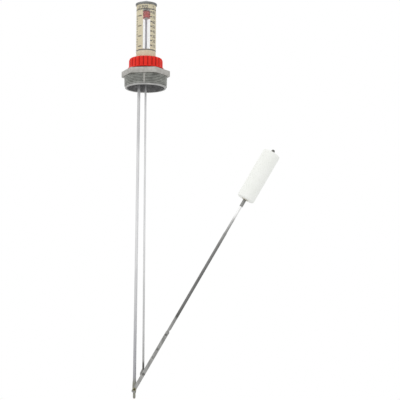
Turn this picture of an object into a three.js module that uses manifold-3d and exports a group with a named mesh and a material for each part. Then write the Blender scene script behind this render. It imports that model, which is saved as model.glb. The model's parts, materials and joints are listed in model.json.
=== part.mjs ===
// Swing-arm float level gauge for a drum or tank, in millimetres, +Z up.
// A threaded bung carries a clear sight glass above it and a strut below it. At the strut's foot a
// float arm swings in the XZ plane, and an actuating rod carries the swing up to a red indicator.
// The origin is on the bung's axis, in the plane where the underside of its hexagon seats.
import * as THREE from 'three';
import { mergeVertices } from 'three/addons/utils/BufferGeometryUtils.js';
import Module from 'manifold-3d';

const wasm = await Module();
wasm.setup();

// ---------- driving dimensions ----------
const runGap = 0.3;             // around a piece that slides or turns in another
const faceGap = 0.1;            // between stacked faces
const tilted = 0.3;             // between faces inside a turned group

const hexFlats = 60.5;          // bung: hexagon, tapered pipe thread and hollow
const hexCornerRadius = 3;
const hexHeight = 8;
const hexTurn = THREE.MathUtils.degToRad(-7.2);
const threadRadius = 30.4;      // crest at the seat
const threadLength = 16.5;
const threadPitch = 2.209;
const threadDepth = 1.7;
const threadLead = 2.1;         // plain band below the first turn
const threadTaper = 1 / 32;     // radius lost per millimetre of length
const cavityRadius = 26.5;
const roofThickness = 4;
const bossRadius = 5.6;
const bossDrop = 2.5;

const collarRadius = 21;        // collar that the lock ring screws onto
const collarTop = 17.5;
const collarBore = 15.5;
const collarThreadPitch = 2.5;
const collarThreadDepth = 0.8;

const ringBottom = 10.4;        // red lock ring
const ringHeight = 15.7;
const ringRadius = 25.6;        // of the lip round its foot
const ringBodyRadius = 23.9;
const ringTopThickness = 3.6;
const ringFlutes = 24;
const ringFluteDepth = 1.1;
const ringShoulder = 3.6;

const gasketThickness = 1.4;
const slipThickness = 0.8;
const tubeRadius = 14.9;        // sight glass
const tubeWall = 0.8;
const tubeTop = 103.3;
const flangeRadius = 19.5;
const flangeThickness = 2.2;
const capRadius = 15.2;
const capHeight = 3.1;
const capPlug = 3.5;
const domeRadius = 5;
const domeHeight = 5;
const labelWall = 0.4;          // rolled scale inside the sight glass
const labelBottom = 23;
const windowBottom = 38;
const windowTop = 95;
const windowAngle = THREE.MathUtils.degToRad(24.5);
const seamAngle = THREE.MathUtils.degToRad(32);

const rodRadius = 1.4;          // actuating rod and its indicator
const indicatorRadius = 8;
const indicatorBottom = 86;
const indicatorHeight = 9.1;
const rodNutFlats = 5.5;
const rodNutHeight = 2;
const bushWall = 1.8;
const bushFlange = 1.6;

const strutRadius = 2.1;        // strut, with its pivot at the foot
const strutTopX = -9.3;
const strutStud = 13.5;
const strutNutFlats = 7;
const strutNutHeight = 3.2;
const lockWasherThickness = 1;
const lockWasherRadius = 4;
const tangThickness = 3;
const tangHalfWidth = 2.7;
const tailHalfWidth = 1.8;
const tailDrop = 12.5;
const pivotZ = -437.1;

const armRest = THREE.MathUtils.degToRad(30);   // arm's angle from straight up
const linkArm = 24;             // pivot to link pin
const sheet = 0.7;              // folded channel at the arm's root
const channelDepth = 5;
const channelTail = 5;
const channelLength = 92;
const earInsideWide = 2.55;
const earInsideNarrow = 2.35;
const joggleStart = 34;
const joggleLength = 8;
const webStart = 28;
const spareHole = 50;
const rivetStations = { arm_rivet_lower: 63, arm_rivet_upper: 86 };
const pivotPinRadius = 1.5;
const linkPinRadius = 1.25;
const rivetRadius = 0.8;
const headThickness = 1.2;

const armRodRadius = 1.8;       // rod that carries the float, thicker from the channel to its step
const armShankRadius = 2.15;
const armRodStart = 58;
const armRodStep = 252;
const floatBottom = 305;
const floatLength = 76;
const floatRadius = 12.7;
const floatRound = 2.2;
const sleeveLength = 11;
const sleeveWall = 0.45;
const floatWasherRadius = 4.5;
const floatWasherThickness = 0.8;
const capNutRadius = 2.6;
const capNutHeight = 5.2;

// ---------- places worked out from them ----------
const ringTop = ringBottom + ringHeight;
const gasketBottom = collarTop + faceGap;
const tubeBottom = gasketBottom + gasketThickness + faceGap;
const tubeBore = tubeRadius - tubeWall;
const labelRadius = tubeBore - runGap;
const labelTop = tubeTop - faceGap * 4;
const slipBottom = tubeBottom + flangeThickness + faceGap;
const ringLipBottom = ringTop - ringTopThickness;
const roofBottom = hexHeight - roofThickness;
const bushRadius = rodRadius + runGap + bushWall;
const pivotX = -linkArm * Math.sin(armRest);
const linkZ = pivotZ + linkArm * Math.cos(armRest);
const strutLength = Math.hypot(pivotX - strutTopX, roofBottom - pivotZ);
const strutLean = Math.asin((strutTopX - pivotX) / strutLength);
const earOutsideWide = earInsideWide + sheet;
const earOutsideNarrow = earInsideNarrow + sheet;
const webOutside = channelDepth / 2;
const webInside = webOutside - sheet;

// ---------- solids ----------
function toSolid(geometry) {
  const bare = geometry.clone();
  bare.deleteAttribute('normal');
  bare.deleteAttribute('uv');
  const merged = mergeVertices(bare, 1e-4);
  const corners = merged.index.array;
  const triangles = [];
  for (let i = 0; i < corners.length; i += 3) {
    const [a, b, c] = corners.slice(i, i + 3);
    if (a !== b && b !== c && c !== a) triangles.push(a, b, c);
  }
  return new wasm.Manifold(new wasm.Mesh({
    numProp: 3,
    vertProperties: new Float32Array(merged.attributes.position.array),
    triVerts: new Uint32Array(triangles),
  }));
}

function toGeometry(solid) {
  const mesh = solid.getMesh();
  const geometry = new THREE.BufferGeometry();
  geometry.setAttribute('position', new THREE.BufferAttribute(mesh.vertProperties, 3));
  geometry.setIndex(new THREE.BufferAttribute(mesh.triVerts, 1));
  geometry.computeVertexNormals();
  return geometry;
}

function join(...geometries) {
  return toGeometry(geometries.map(toSolid).reduce((whole, piece) => whole.add(piece)));
}

function cut(body, ...tools) {
  return toGeometry(tools.map(toSolid).reduce((whole, tool) => whole.subtract(tool), toSolid(body)));
}

// Turned about Z from [radius, height] points, counter-clockwise with radius to the right.
function turned(profile, segments = 32) {
  const points = profile.map(([radius, height]) => new THREE.Vector2(radius, height));
  return new THREE.LatheGeometry(points, segments).rotateX(Math.PI / 2);
}

function rod(radius, low, high, segments = 24) {
  return turned([[0, low], [radius, low], [radius, high], [0, high]], segments);
}

function ring(inner, outer, low, high, segments = 32) {
  return turned([[inner, low], [outer, low], [outer, high], [inner, high], [inner, low]], segments);
}

// A rod along Y through a place in the XZ plane.
function crossRod(radius, front, back, x, z, segments = 24) {
  return rod(radius, -back, -front, segments).rotateX(Math.PI / 2).translate(x, 0, z);
}

function crossRing(inner, outer, front, back, segments = 24) {
  return ring(inner, outer, -back, -front, segments).rotateX(Math.PI / 2);
}

function outline(points) {
  return new THREE.Shape(points.map(([x, y]) => new THREE.Vector2(x, y)));
}

function prism(shape, low, high, curveSegments = 6) {
  const options = { depth: high - low, bevelEnabled: false, curveSegments };
  return new THREE.ExtrudeGeometry(shape, options).translate(0, 0, low);
}

// An outline in the XZ plane, given thickness along Y about the middle.
function plate(shape, thickness, curveSegments = 8) {
  return prism(shape, -thickness / 2, thickness / 2, curveSegments).rotateX(Math.PI / 2);
}

// An outline in the YZ plane, given thickness along X.
function sidePlate(shape, low, high) {
  const axes = new THREE.Matrix4().makeBasis(
    new THREE.Vector3(0, 1, 0), new THREE.Vector3(0, 0, 1), new THREE.Vector3(1, 0, 0));
  return prism(shape, low, high).applyMatrix4(axes);
}

function hexagon(flats, cornerRadius, turn = 0) {
  const shape = new THREE.Shape();
  const reach = (flats / 2 - cornerRadius) / Math.cos(Math.PI / 6);
  for (let corner = 0; corner < 6; corner += 1) {
    const angle = turn + (corner * Math.PI) / 3;
    shape.absarc(reach * Math.cos(angle), reach * Math.sin(angle), cornerRadius,
      angle - Math.PI / 6, angle + Math.PI / 6, false);
  }
  return shape;
}

function hexNut(flats, bore, low, high) {
  const body = prism(hexagon(flats, flats / 12), low, high, 2);
  return cut(body, rod(bore, low - 1, high + 1));
}

// ---------- bung, gasket and bush ----------
function threadProfile() {
  const points = [];
  const turns = Math.floor((threadLength - threadLead - 0.2) / threadPitch);
  const crest = (z) => threadRadius + z * threadTaper;
  const first = -threadLength + threadLead;
  points.push([crest(-threadLength) - 0.9, 0.4 - threadLength], [crest(-threadLength) - 0.9, first - 0.1]);
  for (let turn = 0; turn < turns; turn += 1) {
    const z = first + turn * threadPitch;
    points.push([crest(z) - threadDepth, z], [crest(z), z + threadPitch / 2]);
  }
  points.push([crest(0) - threadDepth, first + turns * threadPitch]);
  return points;
}

function collarProfile() {
  const points = [[collarRadius - collarThreadDepth, hexHeight]];
  const first = ringBottom + 0.6;
  for (let z = first; z + collarThreadPitch < collarTop; z += collarThreadPitch) {
    points.push([collarRadius - collarThreadDepth, z]);
    points.push([collarRadius, z + collarThreadPitch * 0.35]);
    points.push([collarRadius, z + collarThreadPitch * 0.5]);
    points.push([collarRadius - collarThreadDepth, z + collarThreadPitch * 0.85]);
  }
  return points;
}

function bungBody() {
  const bushHole = bushRadius + runGap;
  const wallTop = [threadRadius - threadDepth, hexHeight / 2];
  const shank = turned([
    [bushHole, roofBottom],
    [cavityRadius - 1.5, roofBottom],
    [cavityRadius, roofBottom - 1.5],
    [cavityRadius, -threadLength],
    [threadRadius - threadDepth - 0.2, -threadLength],
    ...threadProfile(),
    wallTop,
    [collarRadius - collarThreadDepth, hexHeight / 2 + 1],
    ...collarProfile(),
    [collarRadius - collarThreadDepth, collarTop],
    [collarBore, collarTop],
    [collarBore, hexHeight],
    [bushHole, hexHeight],
    [bushHole, roofBottom],
  ], 48);
  const flange = cut(prism(hexagon(hexFlats, hexCornerRadius, hexTurn), 0, hexHeight),
    rod(cavityRadius + 0.8, -1, roofBottom, 48), rod(collarBore + 1, roofBottom - 1, hexHeight + 1, 48));
  const boss = (x) => rod(bossRadius, roofBottom - bossDrop, hexHeight - 1).translate(x, 0, 0);
  return cut(join(shank, flange, boss(0), boss(strutTopX)),
    rod(bushHole, roofBottom - bossDrop - 1, hexHeight + 1),
    rod(strutRadius + runGap, roofBottom - bossDrop - 1, hexHeight + 1).translate(strutTopX, 0, 0));
}

function collarGasket() {
  return ring(collarBore + runGap, flangeRadius, gasketBottom, gasketBottom + gasketThickness, 40);
}

function rodGuideBush() {
  const bore = rodRadius + runGap;
  const low = roofBottom - bossDrop;
  const shoulder = hexHeight + faceGap;
  return turned([[bore, low], [bushRadius, low], [bushRadius, shoulder],
    [bushRadius + 0.8, shoulder], [bushRadius + 0.8, shoulder + bushFlange],
    [bore, shoulder + bushFlange], [bore, low]], 24);
}

// ---------- strut and pivot, in the strut's own frame: down its length from the roof ----------
function supportStrut() {
  const shape = new THREE.Shape();
  shape.moveTo(-strutRadius, -strutLength + 16);
  shape.lineTo(-tangHalfWidth, -strutLength + 7);
  shape.lineTo(-tangHalfWidth, -strutLength - 2.5);
  shape.lineTo(-tailHalfWidth, -strutLength - 5);
  shape.lineTo(-tailHalfWidth, -strutLength - tailDrop + tailHalfWidth);
  shape.absarc(0, -strutLength - tailDrop + tailHalfWidth, tailHalfWidth, Math.PI, 2 * Math.PI, false);
  shape.lineTo(tailHalfWidth, -strutLength - 5);
  shape.lineTo(tangHalfWidth, -strutLength - 2.5);
  shape.lineTo(tangHalfWidth, -strutLength + 7);
  shape.lineTo(strutRadius, -strutLength + 16);
  const round = rod(strutRadius, -strutLength + 13, strutStud - roofBottom);
  return cut(join(round, plate(shape, tangThickness)),
    crossRod(pivotPinRadius + runGap, -tangThickness, tangThickness, 0, -strutLength));
}

function strutNut(low) {
  return hexNut(strutNutFlats, strutRadius + tilted, low, low + strutNutHeight);
}

function strutLockWasher() {
  const low = roofThickness + tilted;
  return ring(strutRadius + tilted, lockWasherRadius, low, low + lockWasherThickness, 24);
}

// A pin with a head at the front and another at the back, along Y.
function headedPin(radius, headRadius, front) {
  const head = front + tilted;
  return join(crossRod(radius, -head - headThickness / 2, head + headThickness / 2, 0, 0),
    crossRod(headRadius, -head - headThickness, -head, 0, 0),
    crossRod(headRadius, head, head + headThickness, 0, 0));
}

function pivotWasher() {
  const gap = (earInsideWide - tangThickness / 2 - 2 * faceGap);
  return crossRing(pivotPinRadius + runGap, 2.9, -gap / 2, gap / 2);
}

// ---------- lock ring and slip washer ----------
function lockRing() {
  const bore = collarRadius + runGap;
  const neck = tubeRadius + runGap + faceGap;
  const root = ringBodyRadius - ringFluteDepth;
  const turnedBody = turned([
    [bore, ringBottom], [ringRadius, ringBottom], [ringRadius, ringBottom + 1.5],
    [root, ringBottom + 1.9], [root, ringTop - ringShoulder], [root - 0.9, ringTop - 0.9], [root - 2, ringTop],
    [neck, ringTop], [neck, ringLipBottom], [bore, ringLipBottom], [bore, ringBottom]], 48);
  const fluted = [];
  const step = (2 * Math.PI) / ringFlutes;
  for (let flute = 0; flute < ringFlutes; flute += 1) {
    for (const [share, radius] of [[0.12, root - 0.2], [0.24, ringBodyRadius], [0.76, ringBodyRadius], [0.88, root - 0.2]]) {
      const angle = (flute + share) * step;
      fluted.push([radius * Math.cos(angle), radius * Math.sin(angle)]);
    }
  }
  const ribs = cut(prism(outline(fluted), ringBottom + 1, ringTop),
    rod(bore + 0.6, ringBottom - 1, ringTop + 1, 48));
  const dome = turned([[0, ringBottom], [ringRadius, ringBottom], [ringRadius, ringTop - ringShoulder],
    [ringBodyRadius, ringTop - ringShoulder], [ringBodyRadius - 0.6, ringTop - 1.6],
    [ringBodyRadius - 1.6, ringTop - 0.4], [ringBodyRadius - 2.7, ringTop], [0, ringTop]], 48);
  return join(turnedBody, toGeometry(toSolid(ribs).intersect(toSolid(dome))));
}

function slipWasher() {
  return ring(tubeRadius + 2 * runGap, flangeRadius, slipBottom, slipBottom + slipThickness, 40);
}

// ---------- sight glass ----------
function sightTube() {
  const flangeTop = tubeBottom + flangeThickness;
  return turned([[tubeBore, tubeBottom], [flangeRadius, tubeBottom], [flangeRadius, flangeTop],
    [tubeRadius, flangeTop], [tubeRadius, tubeTop], [tubeBore, tubeTop], [tubeBore, tubeBottom]], 40);
}

function sightCap() {
  const low = tubeTop + faceGap;
  const top = low + capHeight;
  const plugRadius = labelRadius - labelWall - runGap;
  const dome = [0, 1, 2, 3].map((step) => {
    const angle = (step * Math.PI) / 8;
    return [domeRadius * Math.cos(angle), top + domeHeight * Math.sin(angle)];
  });
  return turned([[0, low - capPlug], [plugRadius, low - capPlug], [plugRadius, low],
    [capRadius, low], [capRadius, top - 0.6], [capRadius - 0.6, top], ...dome,
    [0, top + domeHeight]], 40);
}

function scaleLabel() {
  const sleeve = ring(labelRadius - labelWall, labelRadius, labelBottom, labelTop, 40);
  const halfWidth = labelRadius * Math.sin(windowAngle);
  const windowHeight = windowTop - windowBottom;
  const window = new THREE.BoxGeometry(2 * halfWidth, labelRadius + 1, windowHeight)
    .translate(0, -(labelRadius + 1) / 2, windowBottom + windowHeight / 2);
  const seamWidth = labelRadius * Math.sin(seamAngle);
  const seam = new THREE.BoxGeometry(2 * seamWidth, labelRadius + 1, labelTop - labelBottom + 2)
    .translate(0, (labelRadius + 1) / 2, (labelBottom + labelTop) / 2);
  return cut(sleeve, window, seam);
}

// ---------- actuating rod and indicator ----------
function actuatingRod() {
  const bend = new THREE.CatmullRomCurve3([
    new THREE.Vector3(0, 0, linkZ + 10), new THREE.Vector3(0, 0, linkZ + 8),
    new THREE.Vector3(-1, 0, linkZ + 5.4), new THREE.Vector3(-2.7, 0, linkZ + 2.4),
    new THREE.Vector3(-3.15, 0, linkZ + 0.6), new THREE.Vector3(-3.15, 0, linkZ - 1.2)]);
  const section = new THREE.Shape().absarc(0, 0, rodRadius, 0, 2 * Math.PI, false);
  const hook = new THREE.ExtrudeGeometry(section, { steps: 12, curveSegments: 10, extrudePath: bend });
  const top = indicatorBottom + indicatorHeight + faceGap + rodNutHeight + 0.8;
  return join(rod(rodRadius, linkZ + 9, top, 20), hook);
}

function indicatorButton() {
  const top = indicatorBottom + indicatorHeight;
  const bore = rodRadius + runGap;
  return turned([[bore, indicatorBottom], [indicatorRadius - 1, indicatorBottom],
    [indicatorRadius, indicatorBottom + 1], [indicatorRadius, top - 1], [indicatorRadius - 1, top],
    [bore, top], [bore, indicatorBottom]], 32);
}

function indicatorNut(low) {
  return hexNut(rodNutFlats, rodRadius + runGap, low, low + rodNutHeight);
}

// ---------- float arm, in its own frame: up its length from the pivot ----------
function ear(side) {
  const joggleEnd = joggleStart + joggleLength;
  const inside = [[earInsideWide, -channelTail], [earInsideWide, joggleStart],
    [earInsideNarrow, joggleEnd], [earInsideNarrow, channelLength]];
  const outside = [[earOutsideNarrow, channelLength], [earOutsideNarrow, joggleEnd],
    [earOutsideWide, joggleStart], [earOutsideWide, -channelTail]];
  const points = [...inside, ...outside].map(([y, z]) => [side * y, z]);
  return sidePlate(outline(points), -webOutside, webOutside);
}

function channelWeb() {
  const joggleEnd = joggleStart + joggleLength;
  const points = [[-earOutsideWide, webStart], [earOutsideWide, webStart], [earOutsideWide, joggleStart],
    [earOutsideNarrow, joggleEnd], [earOutsideNarrow, channelLength], [-earOutsideNarrow, channelLength],
    [-earOutsideNarrow, joggleEnd], [-earOutsideWide, joggleStart]];
  return sidePlate(outline(points), webInside, webOutside);
}

function armChannel() {
  const body = join(ear(-1), ear(1), channelWeb());
  const end = channelDepth / 2;
  const side = new THREE.Shape();
  side.absarc(0, -channelTail + end, end, Math.PI, 2 * Math.PI, false);
  side.absarc(0, channelLength - end, end, 0, Math.PI, false);
  const rounded = toGeometry(toSolid(body).intersect(toSolid(plate(side, 4 * earOutsideWide))));
  const hole = (radius, z) => crossRod(radius, -2 * earOutsideWide, 2 * earOutsideWide, 0, z);
  return cut(rounded, hole(pivotPinRadius + tilted, 0), hole(linkPinRadius + tilted, linkArm),
    crossRod(linkPinRadius + tilted, -2 * earOutsideWide, 0, 0, spareHole),
    ...Object.values(rivetStations).map((station) => hole(rivetRadius + tilted, station)));
}

function armRod() {
  const tip = floatBottom + floatLength + capNutHeight - 1;
  const whole = turned([[0, armRodStart], [armShankRadius, armRodStart],
    [armShankRadius, armRodStep - 3], [armRodRadius, armRodStep], [armRodRadius, tip], [0, tip]], 24);
  const flatDepth = 2 * armShankRadius;
  const flatFrom = webInside - tilted;
  const flatLength = channelLength - armRodStart + 4;
  const flat = new THREE.BoxGeometry(flatDepth, 4 * armShankRadius, flatLength)
    .translate(flatFrom + flatDepth / 2, 0, armRodStart - 1 + flatLength / 2);
  return cut(whole, flat, ...Object.values(rivetStations).map(
    (station) => crossRod(rivetRadius + 0.2, -3, 3, 0, station, 12)));
}

function armRivet() {
  return headedPin(rivetRadius, 1.5, earOutsideNarrow);
}

function linkPin() {
  const head = earOutsideWide + tilted;
  return join(crossRod(linkPinRadius, -head - headThickness / 2, head + 2 * headThickness, 0, linkArm),
    crossRod(2.1, -head - headThickness, -head, 0, linkArm));
}

function linkPinClip() {
  const near = earOutsideWide + tilted;
  return crossRing(linkPinRadius + 0.15, 2.7, near, near + 0.8).translate(0, 0, linkArm);
}

function floatSleeve() {
  const bore = armRodRadius + 0.15;
  const top = floatBottom - floatWasherThickness - 2 * faceGap;
  return ring(bore, bore + sleeveWall, top - sleeveLength, top, 20);
}

function floatWasher() {
  const top = floatBottom - faceGap;
  return ring(armRodRadius + runGap, floatWasherRadius, top - floatWasherThickness, top, 24);
}

function floatBody() {
  const bore = armRodRadius + runGap;
  const top = floatBottom + floatLength;
  const corner = (middle, turn) => [0, 1, 2, 3].map((step) => {
    const angle = turn + (step * Math.PI) / 6;
    return [floatRadius - floatRound + floatRound * Math.cos(angle), middle + floatRound * Math.sin(angle)];
  });
  return turned([[bore, floatBottom], ...corner(floatBottom + floatRound, -Math.PI / 2),
    ...corner(top - floatRound, 0), [bore, top], [bore, floatBottom]], 36);
}

function floatCapNut() {
  const low = floatBottom + floatLength + faceGap;
  const top = low + capNutHeight;
  const bore = armRodRadius + 0.2;
  return turned([[bore, low], [capNutRadius, low], [capNutRadius, low + 2.6],
    [capNutRadius * 0.8, top - 0.5], [capNutRadius * 0.4, top], [0, top],
    [0, top - 0.7], [bore, top - 0.7], [bore, low]], 24);
}

// ---------- finishes ----------
function finish(color, roughness, metalness, opacity = 1) {
  return new THREE.MeshStandardMaterial({ color, roughness, metalness, opacity, transparent: opacity < 1 });
}

const zinc = () => finish(0xa9abac, 0.5, 0.8);
const steel = () => finish(0xb4b6b8, 0.35, 1);
const darkSteel = () => finish(0x6c6f72, 0.4, 1);
const redPlastic = () => finish(0xe0261c, 0.3, 0);
const clearPlastic = () => finish(0xf2f5f3, 0.08, 0, 0.3);
const paleFloat = () => finish(0xeeeee8, 0.6, 0);
const nylon = () => finish(0xe8e4d8, 0.5, 0);
const blackRubber = () => finish(0x2b2b2c, 0.8, 0);
const creamPaper = () => finish(0xe9e2c0, 0.7, 0);
const greyPlastic = () => finish(0x8d9295, 0.35, 0);

// ---------- assembly ----------
const gauge = new THREE.Group();
const strut = new THREE.Group();
strut.position.set(strutTopX, 0, roofBottom);
strut.rotation.y = strutLean;
const pivot = new THREE.Group();
pivot.position.set(pivotX, 0, pivotZ);
const arm = new THREE.Group();
arm.position.set(pivotX, 0, pivotZ);
arm.rotation.y = armRest;
gauge.add(strut, pivot, arm);

function place(group, name, geometry, material, x = 0, y = 0, z = 0) {
  const mesh = new THREE.Mesh(geometry, material);
  mesh.name = name;
  mesh.position.set(x, y, z);
  group.add(mesh);
}

place(gauge, 'bung_body', bungBody(), zinc());
place(gauge, 'collar_gasket', collarGasket(), blackRubber());
place(gauge, 'rod_guide_bush', rodGuideBush(), nylon());
place(strut, 'support_strut', supportStrut(), steel());
place(strut, 'strut_jam_nut', strutNut(-bossDrop - tilted - strutNutHeight), steel());
place(strut, 'strut_lock_washer', strutLockWasher(), steel());
place(strut, 'strut_nut', strutNut(roofThickness + 2 * tilted + lockWasherThickness), steel());
place(pivot, 'pivot_rivet', headedPin(pivotPinRadius, 2.6, earOutsideWide), darkSteel());
const washerY = (earInsideWide + tangThickness / 2) / 2;
place(pivot, 'pivot_washer_front', pivotWasher(), steel(), 0, -washerY, 0);
place(pivot, 'pivot_washer_rear', pivotWasher(), steel(), 0, washerY, 0);

place(gauge, 'slip_washer', slipWasher(), nylon());
place(gauge, 'lock_ring', lockRing(), redPlastic());

place(gauge, 'sight_tube', sightTube(), clearPlastic());
place(gauge, 'sight_cap', sightCap(), greyPlastic());
place(gauge, 'scale_label', scaleLabel(), creamPaper());

place(gauge, 'actuating_rod', actuatingRod(), steel());
place(gauge, 'indicator_button', indicatorButton(), redPlastic());
place(gauge, 'indicator_nut', indicatorNut(indicatorBottom + indicatorHeight + faceGap), steel());
place(gauge, 'indicator_jam_nut', indicatorNut(indicatorBottom - faceGap - rodNutHeight), steel());

place(arm, 'arm_channel', armChannel(), steel());
place(arm, 'arm_rod', armRod(), steel());
for (const [name, station] of Object.entries(rivetStations)) {
  place(arm, name, armRivet(), darkSteel(), 0, 0, station);
}
place(arm, 'link_pin', linkPin(), darkSteel());
place(arm, 'link_pin_clip', linkPinClip(), darkSteel());
place(arm, 'float_sleeve', floatSleeve(), darkSteel());
place(arm, 'float_washer', floatWasher(), nylon());
place(arm, 'float_body', floatBody(), paleFloat());
place(arm, 'float_cap_nut', floatCapNut(), darkSteel());

export default gauge;
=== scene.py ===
"""Swing-arm float level gauge: its finished surfaces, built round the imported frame."""
import json
import math

import bmesh
import bpy
from mathutils import Matrix, Vector


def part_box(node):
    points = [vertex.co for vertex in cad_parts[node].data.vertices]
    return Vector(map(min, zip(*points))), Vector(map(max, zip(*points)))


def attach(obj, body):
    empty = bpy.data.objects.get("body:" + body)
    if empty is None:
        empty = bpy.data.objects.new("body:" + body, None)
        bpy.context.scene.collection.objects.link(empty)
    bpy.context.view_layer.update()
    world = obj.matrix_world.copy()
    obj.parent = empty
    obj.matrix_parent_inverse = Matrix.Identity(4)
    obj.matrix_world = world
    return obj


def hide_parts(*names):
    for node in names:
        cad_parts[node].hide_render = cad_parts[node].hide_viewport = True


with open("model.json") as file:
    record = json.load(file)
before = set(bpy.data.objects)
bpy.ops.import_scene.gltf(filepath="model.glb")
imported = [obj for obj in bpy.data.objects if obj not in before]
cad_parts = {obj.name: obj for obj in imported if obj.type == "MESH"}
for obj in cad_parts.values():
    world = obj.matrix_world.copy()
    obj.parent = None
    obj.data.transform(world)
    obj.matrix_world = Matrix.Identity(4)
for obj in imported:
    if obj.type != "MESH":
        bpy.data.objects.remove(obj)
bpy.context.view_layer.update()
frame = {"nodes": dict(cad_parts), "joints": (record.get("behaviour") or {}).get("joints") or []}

MM = 0.001
FULL = 2 * math.pi
SHARP = math.radians(32)

# ---------- places, from the frame ----------
JOINTS = {joint["name"]: joint for joint in frame["joints"]}


def heights(node):
    """A node's lowest and highest Z, in millimetres."""
    low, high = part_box(node)
    return low.z / MM, high.z / MM


def reach(node):
    """Half a node's width across Y, in millimetres: the radius of a piece on the gauge's axis."""
    low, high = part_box(node)
    return (high.y - low.y) / 2 / MM


def upright(origin, direction):
    """The place of a piece built along its own Z, with its Y still along the row's Y."""
    z = Vector(direction).normalized()
    y = Vector((0, 1, 0))
    x = y.cross(z)
    return Matrix.Translation(origin) @ Matrix((x, y, z)).transposed().to_4x4()


def along(node, place):
    """How far a node reaches from a place, up that place's Z, in millimetres."""
    inverse = place.inverted()
    steps = [(inverse @ v.co).z / MM for v in frame["nodes"][node].data.vertices]
    return min(steps), max(steps)


PIVOT = Vector(JOINTS["float_arm_swing"]["pos_m"])
ARM = upright(PIVOT, JOINTS["float_spin"]["axis"])
STRUT_HEAD = sum(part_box("strut_nut"), Vector()) / 2
STRUT = upright(PIVOT, STRUT_HEAD - PIVOT)
LINK = sum(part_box("link_pin"), Vector()) / 2
LINK.y = 0
LABEL_RADIUS = -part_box("scale_label")[0].y / MM
WINDOW = (38.0, 95.0)
WINDOW_SIDES = (-19.5, 24.5)
SEAM_HALF = 32
SEAT = 0.0
HEX_TOP = 8.0
ROOF = 4.0


# ---------- mesh making ----------
def add(whole, part, place=Matrix.Identity(4)):
    """Moves one shell to its place and adds it to a piece."""
    mesh = bpy.data.meshes.new("shell")
    part.to_mesh(mesh)
    part.free()
    mesh.transform(place)
    whole.from_mesh(mesh)
    bpy.data.meshes.remove(mesh)
    return whole


def placed(part, place):
    """One shell, moved to its place, as the whole of a piece."""
    return add(bmesh.new(), part, place)


def paint(bm, index):
    """Gives a whole shell one of its piece's materials."""
    for face in bm.faces:
        face.material_index = index
    return bm


def tidy(bm):
    """Joins vertices that meet, and faces every face outwards."""
    bmesh.ops.remove_doubles(bm, verts=bm.verts, dist=2e-7)
    bmesh.ops.recalc_face_normals(bm, faces=bm.faces)
    return bm


def finished(name, bm, materials, body, nodes=(), sharp=SHARP):
    """Makes a piece of the shells, and says what it stands for and rides on."""
    tidy(bm)
    for face in bm.faces:
        face.smooth = True
    for edge in bm.edges:
        edge.smooth = len(edge.link_faces) == 2 and edge.calc_face_angle() < sharp
    mesh = bpy.data.meshes.new(name)
    bm.to_mesh(mesh)
    bm.free()
    for material in materials:
        mesh.materials.append(material)
    piece = bpy.data.objects.new(name, mesh)
    bpy.context.scene.collection.objects.link(piece)
    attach(piece, body)
    if nodes:
        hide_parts(*nodes)
    return piece


def turned(profile, segments, soften=0.0):
    """Spins [radius, height] points about Z. Off the axis the outline closes on itself."""
    bm = bmesh.new()
    verts = [bm.verts.new((radius * MM, 0, height * MM)) for radius, height in profile]
    for pair in zip(verts, verts[1:]):
        bm.edges.new(pair)
    if profile[0][0] or profile[-1][0]:
        bm.edges.new((verts[-1], verts[0]))
    if soften:
        corners = [v for v in verts if v.co.x > 1e-7 and len(v.link_edges) == 2]
        bmesh.ops.bevel(bm, geom=corners, offset=soften * MM, segments=2, profile=0.5,
                        affect="VERTICES", material=-1)
    bmesh.ops.spin(bm, geom=bm.verts[:] + bm.edges[:], cent=(0, 0, 0), axis=(0, 0, 1),
                   angle=FULL, steps=segments, use_merge=True)
    return tidy(bm)


def rim(bm, height):
    """The open edges that lie at one height."""
    return [e for e in bm.edges if e.is_boundary
            and all(abs(v.co.z - height * MM) < 1e-6 for v in e.verts)]


def extruded(bm, loop):
    """Extrudes an open rim, and returns its new vertices and its new rim."""
    made = bmesh.ops.extrude_edge_only(bm, edges=loop)["geom"]
    fresh = {g for g in made if isinstance(g, bmesh.types.BMVert)}
    return fresh, [g for g in made if isinstance(g, bmesh.types.BMEdge) and set(g.verts) <= fresh]


def step(bm, loop, radius, height):
    """Carries an open rim on to a circle or a fluted outline, and returns the new rim."""
    fresh, onward = extruded(bm, loop)
    for v in fresh:
        turn = math.atan2(v.co.y, v.co.x)
        wide = radius(turn) if callable(radius) else radius
        v.co = (wide * MM * math.cos(turn), wide * MM * math.sin(turn), height * MM)
    return onward


def walk(bm, loop, stations):
    """Carries an open rim through [radius, height] stations, and returns the last rim."""
    for radius, height in stations:
        loop = step(bm, loop, radius, height)
    return loop


def fluted(count, depth, power, start=0.0):
    """Grooves round a circle: gives a function of the radius and the share of their depth."""
    def wall(radius, share=1.0):
        def at(turn):
            groove = max(0.5 + 0.5 * math.cos(count * (turn - start)), 0) ** power
            return radius - depth * share * groove
        return at
    return wall


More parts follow.
